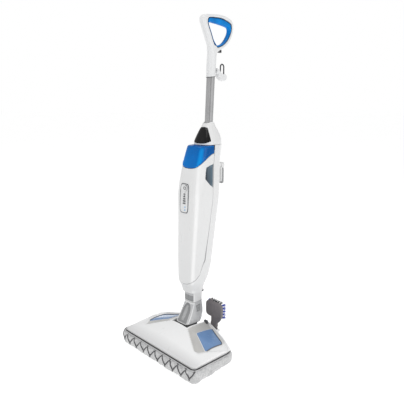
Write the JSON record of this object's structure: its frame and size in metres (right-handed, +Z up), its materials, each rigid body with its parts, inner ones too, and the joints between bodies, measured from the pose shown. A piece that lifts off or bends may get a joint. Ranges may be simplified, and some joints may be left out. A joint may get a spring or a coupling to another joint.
{
  "type": "steam_mop",
  "caption": "Upright steam mop with a wide foot, washable laced pad, swivel neck, lift-out blue water tank, metal tube and loop handle.",
  "frame": {"origin": "point on the floor under the pad's sole, on the centre line of the neck", "axes": "+Z up along the standing mop, +Y towards the rear where the cord hooks are, +X to the mop's left-hand side seen from the front"},
  "size_m": [0.3982, 0.3967, 1.158],
  "materials": {
    "white_shell": "moulded, satin gloss",
    "grey_plastic": "fine grain",
    "dark_plastic": "fine grain",
    "black_gloss": "polished",
    "tank_blue": "tinted clear",
    "window_blue": "tinted clear",
    "lens_blue": "tinted clear",
    "grip_rubber": "soft touch",
    "black_rubber": "matt",
    "tube_grey": "satin",
    "steel": "brushed",
    "aluminium": "cast",
    "brass": "turned",
    "pad_fabric": "microfibre terry",
    "lace_fabric": "braided",
    "board_green": "solder mask",
    "hose_silicone": "translucent",
    "bristle_blue": "nylon",
    "bristle_dark": "nylon"
  },
  "bodies": {
    "foot": {"foot_cover": "white_shell", "foot_base": "dark_plastic", "window_trays": "white_shell", "windows": "window_blue", "edge_gasket": "grey_plastic", "steam_manifold": "aluminium", "steam_jets": "brass", "foot_screws": "steel", "grip_strips": "black_rubber", "scrubber_pin": "steel", "scrubber_lugs": "white_shell", "scrubber_catch": "dark_plastic", "mop_pad": "pad_fabric", "pad_binding": "lace_fabric", "pad_lace": "lace_fabric"},
    "swivel": {"swivel_block": "grey_plastic", "swivel_clip": "steel", "tilt_pin": "steel"},
    "upper": {"neck_frame": "dark_plastic", "yoke_shell": "grey_plastic", "neck_sleeve": "white_shell", "neck_insert": "grey_plastic", "front_cover": "white_shell", "rear_housing": "white_shell", "top_housing": "white_shell", "name_plate": "black_gloss", "control_bezel": "grey_plastic", "button_spring": "steel", "indicator_lenses": "lens_blue", "grip_liners": "dark_plastic", "cord_hook_lower": "white_shell", "hook_tip": "dark_plastic", "housing_screws": "steel", "boiler": "aluminium", "boiler_clamps": "steel", "thermostat": "black_rubber", "pump": "dark_plastic", "pump_mounts": "black_rubber", "pump_hoses": "hose_silicone", "steam_hose": "dark_plastic", "control_board": "board_green", "chassis": "grey_plastic", "dock_seal": "black_rubber", "handle_tube": "tube_grey", "handle_left": "white_shell", "handle_right": "white_shell", "grip_insert": "grip_rubber", "handle_screws": "steel", "hook_pin": "steel", "cord_clip": "dark_plastic", "cord_gland": "black_rubber"},
    "power_button": {"power_button": "white_shell"},
    "water_tank": {"water_tank": "tank_blue", "tank_valve": "white_shell"},
    "tank_cap": {"tank_cap": "tank_blue"},
    "cord_hook_upper": {"cord_hook_upper": "white_shell", "cord_loop": "dark_plastic"},
    "scrubber": {"scrubber_paddle": "dark_plastic", "bristles_blue": "bristle_blue", "bristles_dark": "bristle_dark"}
  },
  "joints": [
    {"name": "neck_roll", "type": "hinge", "parent": "foot", "child": "swivel", "pos_m": [0, 0, 0.072], "axis": [0, 1, 0], "range_deg": [-12, 12]},
    {"name": "neck_tilt", "type": "hinge", "parent": "swivel", "child": "upper", "pos_m": [0, 0.026, 0.072], "axis": [-1, 0, 0], "range_deg": [0, 70]},
    {"name": "tank_slide", "type": "slide", "parent": "upper", "child": "water_tank", "axis": [0, -1, 0], "range_m": [0, 0.12]},
    {"name": "tank_cap_lift", "type": "slide", "parent": "water_tank", "child": "tank_cap", "axis": [0, 0, 1], "range_m": [0, 0.03]},
    {"name": "button_press", "type": "slide", "parent": "upper", "child": "power_button", "axis": [0, 1, 0], "range_m": [0, 0.0015], "stiffness_N_per_m": 500, "springref_m": -0.002, "deforming": ["button_spring"]},
    {"name": "hook_turn", "type": "hinge", "parent": "upper", "child": "cord_hook_upper", "pos_m": [0, 0.167, 0.978], "axis": [0, 1, 0], "range_deg": [0, 180]},
    {"name": "scrubber_flip", "type": "hinge", "parent": "foot", "child": "scrubber", "pos_m": [0.072, 0.08347, 0.058], "axis": [-1, 0, 0], "range_deg": [0, 105]}
  ]
}
